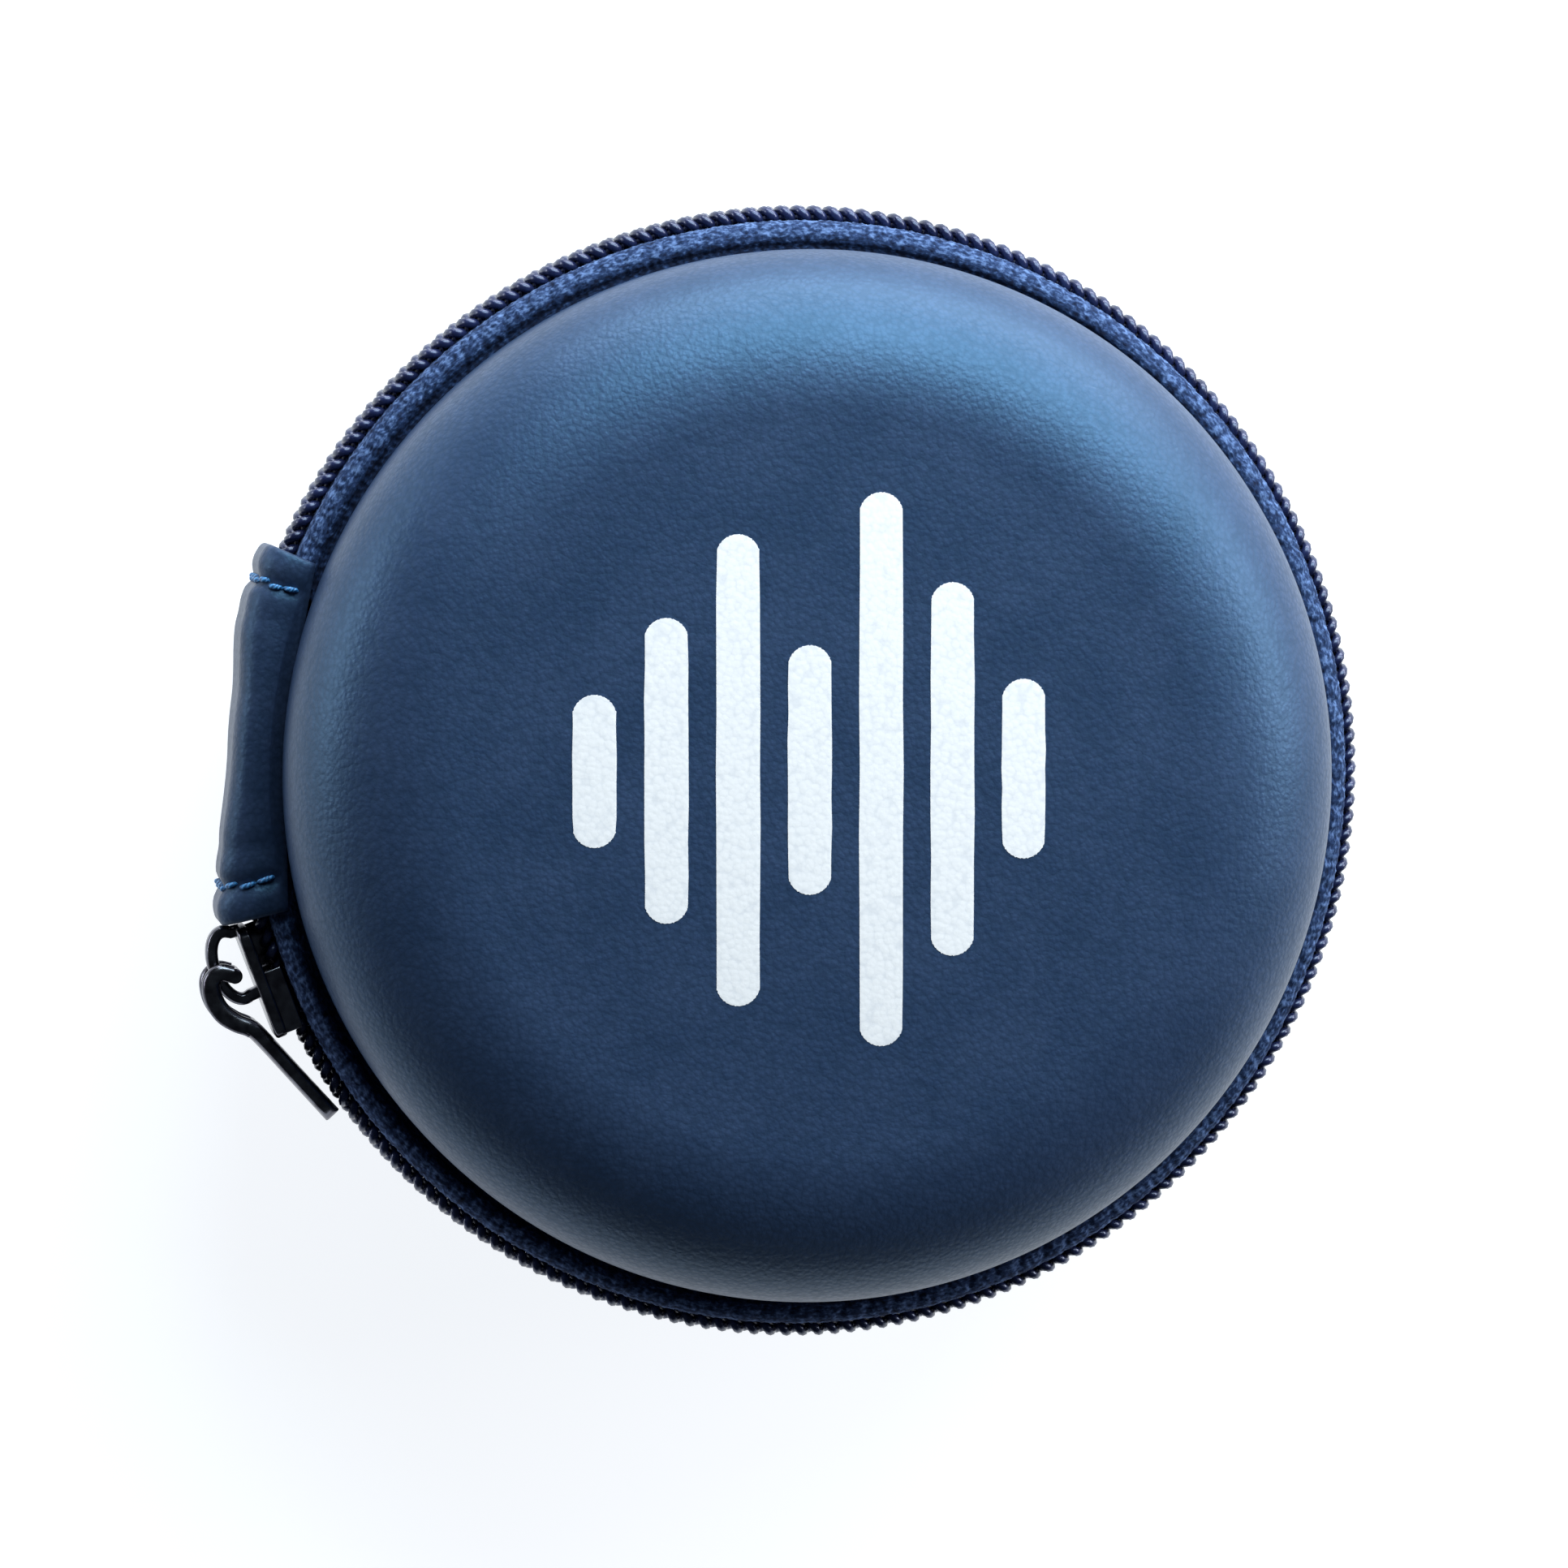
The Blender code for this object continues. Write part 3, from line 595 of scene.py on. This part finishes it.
def strip_swell(angle):
    """How far the leather stands off its line: drawn in at the stitches, puffed at the hems and
    a little between them."""
    from_end = STRIP_SPAN - np.abs(angle)
    pinch = -0.42 * MM * np.exp(-(((from_end - STITCH_INSET) / math.radians(0.75)) ** 2))
    hem = 0.20 * MM * np.exp(-(((from_end - math.radians(1.5)) / math.radians(1.2)) ** 2))
    middle = 0.12 * MM * np.cos(angle / STRIP_SPAN * math.pi * 0.9) - 0.05 * MM
    return pinch + hem + middle


def strip_bow(angle):
    """How far the strip's upright part is moved out radially: it is stiff and nearly straight, so
    its middle lies in, and its lower end stands out over the slider's nose."""
    degrees = np.degrees(angle)
    upper, lower = np.clip((-degrees - 3) / 10, 0, 1), np.clip((degrees - 2) / 20, 0, 1)
    rise_upper, rise_lower = (x**2 * (3 - 2 * x) for x in (upper, lower))
    return MM * (-0.78 + 1.05 * rise_upper + 2.55 * rise_lower)


def strip_share(r):
    """The share of the bow that a point at radius r takes: none at the lid's side, all outside."""
    return np.clip((r - STRIP_INNER) / (STRIP_RADIUS - STRIP_INNER), 0, 1) ** 1.5


def strip_grid():
    """Rows go along the strip's line, columns round its section: the outer face from one end to
    the other, a rolled hem, the inner face and the other hem."""
    r, h, out, even = strip_line(90)
    face = np.linspace(-1, 1, 81) * (STRIP_SPAN - HEM)
    roll = np.linspace(0, math.pi, 9)[1:-1]
    mouth = STRIP_SPAN - HEM + HEM * np.sin(roll)
    angle = np.concatenate([face, mouth, face[::-1], -mouth])
    off = np.concatenate([np.full(81, 1.0), np.cos(roll), np.full(81, -1.0), -np.cos(roll)])
    hem_side = np.clip((np.abs(angle) - STRIP_SPAN + math.radians(3.2)) / HEM, 0, 1)
    depth = np.where(off > 0, 0.5 * STRIP, 0.5 * STRIP + 0.3 * MM * hem_side) * off
    edge = np.sin(np.linspace(0, math.pi, 90)) ** 0.25
    wave = 0.05 * MM * np.sin(9 * angle)[None] * np.sin(even / even[-1] * 7)[:, None]
    crease = -0.10 * MM * np.exp(-(((np.abs(angle) - 0.62 * STRIP_SPAN) / math.radians(1.0)) ** 2))
    lift = depth[None] + (strip_swell(angle) + crease)[None] * edge[:, None] + wave * edge[:, None]
    rr = r[:, None] + lift * out[:, 0:1] + strip_bow(angle)[None] * strip_share(r)[:, None]
    hh = h[:, None] + lift * out[:, 1:2] - np.sign(h)[:, None] * DIVE * (1 - edge[:, None])
    points = at_angle(math.pi + angle[None] + 0 * rr, rr, MIDDLE + hh)
    return capped(points)


strip_leather = leather("strip_leather", (0.016, 0.029, 0.068), (0.027, 0.043, 0.094), 0.35)
strip = surface("hinge_strip_leather", strip_grid(), (False, True), sharp=60)
strip_leather.coat(strip)
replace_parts(strip, "hinge_strip")
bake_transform(strip)

# ---- Hinge stitches ----------------------------------------------------------------------------
# Bright azure thread, lock-stitched over the strip near each end. Each stitch lies in the pinch
# that it draws, slack in the middle and pulled under at its ends.
azure = sewing_thread("azure_thread", (0.012, 0.075, 0.22), (0.05, 0.22, 0.50))
STITCH_ROWS = {"upper": -1, "lower": 1}
for name, end in STITCH_ROWS.items():
    count, t, row_angle = 12, np.linspace(0, 1, 11), end * (STRIP_SPAN - STITCH_INSET)
    r, h, out, even = strip_line(400)
    seat = 0.5 * STRIP + strip_swell(np.array([STRIP_SPAN - STITCH_INSET]))[0] + 0.08 * MM
    share = (np.arange(count)[:, None] + 0.08 + 0.84 * t) / count
    place = share * 0.94 * even[-1] + 0.03 * even[-1]
    rise = np.sin(math.pi * t) ** 0.6
    lift = seat - 0.16 * MM + 0.30 * MM * rise
    rr = np.interp(place, even, r)
    rr = rr + lift * np.interp(place, even, out[:, 0]) + strip_bow(row_angle) * strip_share(rr)
    hh = np.interp(place, even, h) + lift * np.interp(place, even, out[:, 1])
    wander = math.radians(0.28) * ((np.arange(count) % 2)[:, None] - 0.5 + 0.8 * (t - 0.5))
    path = at_angle(math.pi + row_angle + wander, rr, MIDDLE + hh)
    tube = thread_grid(path, 0.2 * MM * (0.6 + 0.4 * rise), path - [0, 0, MIDDLE])
    u, v = np.linspace(0, 1.5 * MM, 13), np.linspace(0, 1, 9)
    row = surface(f"hinge_stitching_{name}", capped(tube), (False, True), (u, v))
    azure.coat(row)
    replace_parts(row, f"hinge_stitches_{name}")
    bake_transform(row)

# ---- Hinge lining ------------------------------------------------------------------------------
# A band of the lining knit glued inside across the gap, so that the zip's ends don't show.
BAND_TALL, BAND_RADIUS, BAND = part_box("hinge_lining")[1].z - MIDDLE, 37.5 * MM, 0.5 * MM
band_angle = np.linspace(-1, 1, 41) * (STRIP_SPAN - math.radians(1.0))
section_h = np.concatenate([np.linspace(-1, 1, 17), np.linspace(1, -1, 17)])
section_r = np.repeat([1.0, -1.0], 17) * (1 - np.abs(section_h) ** 6 * 0.8)
band = at_angle(
    math.pi + band_angle[:, None] + 0 * section_h[None],
    BAND_RADIUS + 0.5 * BAND * section_r[None] - 0.15 * MM * (1 - section_h[None] ** 2),
    MIDDLE + BAND_TALL * section_h[None],
)
inner_band = surface("hinge_band_lining", capped(band), (False, True))
lining_knit.coat(inner_band)
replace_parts(inner_band, "hinge_lining")
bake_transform(inner_band)

# ---- Mesh pocket -------------------------------------------------------------------------------
# Knitted net sewn across the hinge side of the lid, with its straight side gathered on an elastic.
NET_RADIUS, NET_CHORD = -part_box("mesh_pocket")[0].x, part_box("mesh_pocket")[1].x
NET_LEVEL = 0.5 * (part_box("mesh_pocket")[0].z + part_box("mesh_pocket")[1].z)
NET, HOLE, NET_SAG = 0.25 * MM, 1.25 * MM, 1.6 * MM


def net_grid():
    """A disc segment as rows across from the hinge side to the chord. It sags by NET_SAG times
    1 - (distance from the axis / radius) squared, and a little more towards the chord."""
    s = np.linspace(0, 1, 60)
    x = -NET_RADIUS + (NET_RADIUS + NET_CHORD) * (1 - np.cos(s * math.pi)) / 2
    half = np.sqrt(np.clip(NET_RADIUS**2 - x**2, 0, None))
    y = np.linspace(-1, 1, 61)[None] * half[:, None]
    x = x[:, None] + 0 * y
    bow = NET_SAG * np.clip(1 - (x**2 + y**2) / NET_RADIUS**2, 0, 1) * (0.6 + 0.08 * x / NET_CHORD)
    return np.stack([x, y, NET_LEVEL - bow], -1)


net = Finish("knitted_net", Roughness=0.75)
x, y, _ = net.axes("Object")
cell = (x * (math.tau / HOLE)).sine() * 0.5 + 0.5
skew = (y * (math.tau / (1.15 * HOLE)) + (x * (math.pi / HOLE)).sine() * 0.6).sine() * 0.5 + 0.5
yarn = net.noise(0.18 * MM, 2.0)
solid = 1 - (cell * skew).step(0.22, 0.34)
net.set(Alpha=solid)
net.set(Base_Color=net.blend(yarn.step(0.3, 0.7), (0.010, 0.014, 0.034), (0.05, 0.065, 0.12)))
net.relief(solid + yarn * 0.4, 0.08 * MM, 0.7)
pocket = surface("pocket_net", net_grid(), (False, False))
wall = pocket.modifiers.new("yarn", "SOLIDIFY")
wall.thickness, wall.offset = NET, 0.0
net.coat(pocket)
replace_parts(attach(pocket, "lid"), "mesh_pocket")

# ---- Pocket elastic ----------------------------------------------------------------------------
# A ribbed elastic tape is folded over the net's straight edge and pulls the pocket's mouth taut.
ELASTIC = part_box("pocket_elastic")
half_long = 0.5 * (ELASTIC[1].y - ELASTIC[0].y)
s = np.linspace(-1, 1, 700)
turn = np.linspace(0, math.tau, 25)[:-1]
ribs = 1 + 0.10 * np.sin(s * half_long * math.tau / (0.8 * MM))[:, None]
wide, deep = 1.5 * MM * ribs, 0.5 * MM * ribs
squarish = np.sign(np.cos(turn)) * np.abs(np.cos(turn)) ** 0.5
cross_x = 0.5 * (ELASTIC[0].x + ELASTIC[1].x) - 0.6 * MM + 0.9 * wide * squarish[None]
cross_z = 0.5 * (ELASTIC[0].z + ELASTIC[1].z) + deep * np.sin(turn)[None]
along = s * half_long
sag = 1.2 * MM * (1 - s[:, None] ** 2)
hem = np.stack([cross_x, along[:, None] + 0 * cross_x, cross_z - sag], -1)
uv = (np.concatenate([along[:1], along, along[-1:]]), np.linspace(0, 4 * MM, 25))
elastic = surface("pocket_hem", capped(hem), (False, True), uv)
elastic_cloth = woven(
    "elastic_tape", (0.006, 0.008, 0.018), (0.014, 0.019, 0.042), (0.05, 0.06, 0.10), 0.8 * MM
)
elastic_cloth.coat(elastic)
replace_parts(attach(elastic, "lid"), "pocket_elastic")

# ---- Slider ------------------------------------------------------------------------------------
# Die-cast zinc with a black-nickel finish: front and back plate joined by the wedge that parts the
# rows, flanges that hold them in, and the arched bridge on the front plate. It sits parked by the
# strip; its own X points out, its Y along the zip to the tail.
PLATE = 43.2 * MM


def rounded(half_y, half_z, corner, count=12):
    """Outline of a rounded rectangle, as (y, z), with count points for each corner."""
    a = np.radians(np.linspace(0, 90, count))
    centre = np.array([[1, 1], [-1, 1], [-1, -1], [1, -1]]) * [half_y - corner, half_z - corner]
    quarter = np.stack([np.cos(a), np.sin(a)], -1)
    turns = np.array([[[1, 0], [0, 1]], [[0, 1], [-1, 0]], [[-1, 0], [0, -1]], [[0, -1], [1, 0]]])
    arcs = quarter[None] @ turns
    return (centre[:, None] + corner * arcs).reshape(-1, 2)


def cast_plate(name, low, high, corner, edge, tail=1.0):
    """A slab between two corners (x, y, z): its outline drawn in by 1 - sin at both faces over
    the edge radius, which rounds every edge. The tail, at +y, is tail times as wide."""
    low, high = np.array(low), np.array(high)
    centre, half = 0.5 * (low + high), 0.5 * (high - low)
    turn = np.linspace(0, math.pi / 2, 7)
    inset = edge * np.concatenate([1 - np.sin(turn), 1 - np.sin(turn[::-1])])
    rise = half[0] - edge * (1 - np.cos(turn))
    x = np.concatenate([-rise, rise[::-1]])
    outline = rounded(half[1], half[2], corner)
    scale = 1 - inset[:, None, None] / half[1:]
    yz = outline[None] * scale
    yz[..., 1] *= 1 + (tail - 1) * np.clip(0.5 + 0.5 * yz[..., 0] / half[1], 0, 1)
    grid = np.concatenate([np.repeat(x[:, None, None], yz.shape[1], 1), yz], -1) + centre
    return surface(name, capped(grid), (False, True), sharp=40)


def bar_along(name, path, thickness, width, corner, middle=0.0):
    """A bar of rounded section along (along, out) points: the section's own axes are the path's
    normal and Z, about middle. Thickness and width may be given for each point."""
    run = np.gradient(path, axis=0)
    run /= np.linalg.norm(run, axis=1, keepdims=True)
    normal = np.stack([-run[:, 1], run[:, 0]], 1)
    shape = rounded(0.5, 0.5, corner, 6)
    lift = shape[None, :, 0] * np.broadcast_to(thickness, len(path))[:, None]
    side = middle + shape[None, :, 1] * np.broadcast_to(width, len(path))[:, None]
    along = path[:, None, 0] + lift * normal[:, None, 0]
    out = path[:, None, 1] + lift * normal[:, None, 1]
    return surface(name, capped(np.stack([PLATE + out, along, side], -1)), (False, True), sharp=45)


def smooth_path(points, count):
    """A Catmull-Rom curve through given points, evenly spaced."""
    p = np.array(points)
    p = np.concatenate([2 * p[:1] - p[1:2], p, 2 * p[-1:] - p[-2:-1]])
    t = np.linspace(0, 1, 20)[:-1, None, None]
    a, b, c, d = (p[i : len(p) - 3 + i][None] for i in range(4))
    square, cube = 2 * a - 5 * b + 4 * c - d, 3 * b - a - 3 * c + d
    curve = 0.5 * (2 * b + (c - a) * t + square * t**2 + cube * t**3)
    curve = np.concatenate([curve.transpose(1, 0, 2).reshape(-1, 2), p[-2:-1]])
    length = np.concatenate([[0], np.cumsum(np.hypot(*np.diff(curve, axis=0).T))])
    even = np.linspace(0, length[-1], count)
    return np.stack([np.interp(even, length, curve[:, i]) for i in (0, 1)], 1)


def unite(target, others, operation="UNION"):
    """Applies a Boolean of each other piece to the target and removes it."""
    for other in others:
        cut = target.modifiers.new("cut", "BOOLEAN")
        cut.operation, cut.object = operation, other
        graph = bpy.context.evaluated_depsgraph_get()
        made = bpy.data.meshes.new_from_object(target.evaluated_get(graph))
        target.modifiers.clear()
        target.data = made
        bpy.data.objects.remove(other)
    target.data.shade_smooth()
    target.data.set_sharp_from_angle(angle=math.radians(38))
    return target


def park(obj):
    """Turns a mesh from the slider's own axes to where the slider is parked."""
    obj.data.transform(Matrix.Translation((0, 0, MIDDLE)) @ Matrix.Rotation(PARKED, 4, "Z"))
    return obj


def slab(name, x, y, z, corner, edge, tail=1.0):
    """A cast plate whose ranges along the slider's axes, corner and edge are in millimetres."""
    low, high = ([span[end] * MM for span in (x, y, z)] for end in (0, 1))
    return cast_plate(name, low, high, corner * MM, edge * MM, tail)


FRONT, BACK, FLANGE = (42.3, PLATE / MM), (38.95, 39.7), (41.05, 42.7)
body = slab("slider_cast_body", FRONT, (-4.3, 4.3), (-3.3, 3.3), 1.0, 0.22, 0.94)
back = slab("back", BACK, (-4.1, 4.1), (-2.9, 2.9), 0.9, 0.2, 0.85)
flanges = [
    slab("flange", FLANGE, (-0.7, 4.1), (z, z + 0.45), 0.15, 0.12) for z in (2.45, -2.9)
]
WEDGE_FROM, WEDGE_TO, WEDGE_CENTRE = 39.3 * MM, 42.6 * MM, -2.55 * MM
WEDGE_LONG, WEDGE_WIDE = 1.7 * MM, 0.66 * MM  # half of its length and width
a = np.linspace(0, math.tau, 25)[:-1]
wedge_y = WEDGE_CENTRE + WEDGE_LONG * np.cos(a) * (1 - 0.15 * np.abs(np.sin(a)))
wedge_z = WEDGE_WIDE * np.sin(a)
post = np.stack([np.stack([x + 0 * a, wedge_y, wedge_z], -1) for x in (WEDGE_FROM, WEDGE_TO)])
wedge = surface("wedge", capped(post), (False, True))
phase = np.radians(np.linspace(205, -14, 40))
ARCH_CENTRE, ARCH_REACH = np.array([-1.75, 0.95]) * MM, np.array([2.6, 1.42]) * MM
crown = ARCH_CENTRE + ARCH_REACH * np.stack([np.cos(phase), np.sin(phase)], 1)
FOOT = -0.35 * MM  # how far the bridge's feet go into the plate
arch = [[crown[0, 0] + 0.1 * MM, FOOT], *crown, [crown[-1, 0] - 0.05 * MM, FOOT]]
bridge = bar_along("bridge", np.array(arch), 0.92 * MM, 1.7 * MM, 0.3)
park(unite(body, [back, *flanges, wedge, bridge]))

gunmetal = Finish("black_nickel", Metallic=1.0)
cloud, scratch = gunmetal.noise(0.9 * MM, 4.0), gunmetal.noise(0.15 * MM, 2.0)
plating = gunmetal.blend(cloud.step(0.3, 0.7), (0.060, 0.058, 0.075), (0.14, 0.145, 0.175))
gunmetal.set(Base_Color=plating)
gunmetal.set(Roughness=0.16 + cloud * 0.12 + scratch * 0.05)
gunmetal.relief(cloud + scratch * 0.3, 0.02 * MM, 0.3)
gunmetal.coat(body)
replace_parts(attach(body, "slider"), "slider_body")

# ---- Pull tab ----------------------------------------------------------------------------------
# One casting: a straight blade whose root rises over the bridge and hooks back to an end bar under
# it. A window in the root lets the bridge through. At rest the blade leans in along the zip.
PIVOT = np.array([-1.1, 1.2]) * MM
HOOK = [(-1.25, 1.3), (-1.7, 2.1), (-1.3, 2.95), (-0.1, 3.25), (1.2, 3.0), (2.2, 2.3)]
BLADE = [(3.0, 1.45), (4.2, 0.85), (7.7, -0.52), (11.2, -1.9)]
ARM_CENTRE = 1.72 * MM  # of each arm beside the window, from the blade's middle
TAB_LENGTH, TAB_WIDTH, TAB_THICK, TIP_ROUND = 16.9 * MM, 4.6 * MM, 1.25 * MM, 1.5 * MM
path = smooth_path(np.array(HOOK + BLADE) * MM, 120)
to_tip = np.linspace(1, 0, 120) * TAB_LENGTH
rounding = np.clip(1 - to_tip / TIP_ROUND, 0, 1) ** 2 * 0.75
width = TAB_WIDTH * np.sqrt(np.clip(1 - rounding, 0.05, 1))
thickness = TAB_THICK + 0.2 * MM * np.exp(-(((to_tip - 12.5 * MM) / (2.6 * MM)) ** 2))
root = int(np.argmax(path[:, 0] > 2.75 * MM))
tab = bar_along("tab_casting", path[root:], thickness[root:], width[root:], 0.28)
arms = [
    bar_along("arm", path[: root + 4], thickness[: root + 4], 1.15 * MM, 0.4, z)
    for z in (-ARM_CENTRE, ARM_CENTRE)
]
end_turn = np.linspace(0, math.tau, 25)[:-1]
bar_z = np.array([-2.2, -2.1, 2.1, 2.2])[:, None] * MM
bar_r = np.array([0.46, 0.56, 0.56, 0.46])[:, None] * MM
bar_x, bar_y = PLATE + PIVOT[1] + bar_r * np.cos(end_turn), PIVOT[0] + bar_r * np.sin(end_turn)
bar = np.stack([bar_x, bar_y, bar_z + 0 * end_turn], -1)
end_bar = surface("end_bar", capped(bar), (False, True))
park(unite(tab, [*arms, end_bar]))
gunmetal.coat(tab)
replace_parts(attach(tab, "pull_tab"), "pull_tab")

# ---- Studio ------------------------------------------------------------------------------------
# The case lies on a plain pale floor under soft boxes: a strong near key beyond its upper side in
# the view, a long low skim behind that, and weaker ones at the right and left.


def floor_piece():
    """A square, a little below the case's flat bottom."""
    reach = np.array([-1.5, 1.5])
    x, y = np.meshgrid(reach, reach, indexing="ij")
    return surface("floor", np.stack([x, y, 0 * x - 0.05 * MM], -1), (False, False))


ground = floor_piece()
paper = Finish("pale_floor", Roughness=0.9, Specular_IOR_Level=0.1)
mottle = paper.noise(0.4, 2.0) * 0.2
paper.set(Base_Color=paper.blend(mottle, (0.32, 0.32, 0.325), (0.28, 0.28, 0.29)))
paper.set(Emission_Color=(0.93, 0.96, 1.0), Emission_Strength=0.92)
paper.coat(ground)

TARGET = Vector((0, 0, MIDDLE))


def soft_box(name, toward, lift, distance, size, power, colour=(1, 1, 1)):
    """A rectangular lamp in a direction in the view's plane, lifted above the zip's plane."""
    lamp = bpy.data.lights.new(name, "AREA")
    lamp.shape, lamp.size, lamp.size_y = "RECTANGLE", *size
    lamp.energy, lamp.color = power, colour
    obj = bpy.data.objects.new(name, lamp)
    flat = RIGHT * toward[0] + UP * toward[1]
    obj.location = TARGET + Vector(flat * distance) + Vector((0, 0, lift))
    obj.rotation_mode = "QUATERNION"
    obj.rotation_quaternion = (obj.location - TARGET).to_track_quat("Z", "Y")
    bpy.context.scene.collection.objects.link(obj)


soft_box("key", (0.32, 0.95), 0.175, 0.22, (0.32, 0.14), 1.55, (0.84, 1.0, 1.0))
soft_box("skim", (0.25, 0.97), 0.045, 0.36, (0.55, 0.08), 2.2)
soft_box("right", (1.0, 0.3), 0.17, 0.45, (0.30, 0.14), 1.7)
soft_box("left", (-0.97, 0.25), 0.04, 0.5, (0.30, 0.07), 0.8)

world = bpy.data.worlds.new("studio")
world.use_nodes = True
world.node_tree.nodes["Background"].inputs["Color"].default_value = (0.75, 0.88, 1.0, 1)
world.node_tree.nodes["Background"].inputs["Strength"].default_value = 0.05
bpy.context.scene.world = world
bpy.context.scene.view_settings.view_transform = "Standard"

# The camera looks down, tilted 7.5 degrees from the left of the view and 3 from above it.
TILT_LEFT, TILT_UP, DISTANCE = math.sin(math.radians(7.5)), math.sin(math.radians(3)), 0.6
toward = -TILT_LEFT * RIGHT + TILT_UP * UP
toward[2] = math.sqrt(1 - TILT_LEFT**2 - TILT_UP**2)
across = np.cross(UP, toward)
across /= np.linalg.norm(across)
upward = np.cross(toward, across)
aim = np.array(TARGET) - 1.01 * MM * across - 0.92 * MM * upward
camera = bpy.data.objects.new("camera", bpy.data.cameras.new("camera"))
camera.data.lens, camera.data.sensor_width = 185.6, 36.0
camera.data.clip_start, camera.data.clip_end = 0.01, 10.0
placed = np.eye(4)
placed[:3] = np.stack([across, upward, toward, aim + toward * DISTANCE], 1)
camera.matrix_world = Matrix(placed)
bpy.context.scene.collection.objects.link(camera)
bpy.context.scene.camera = camera
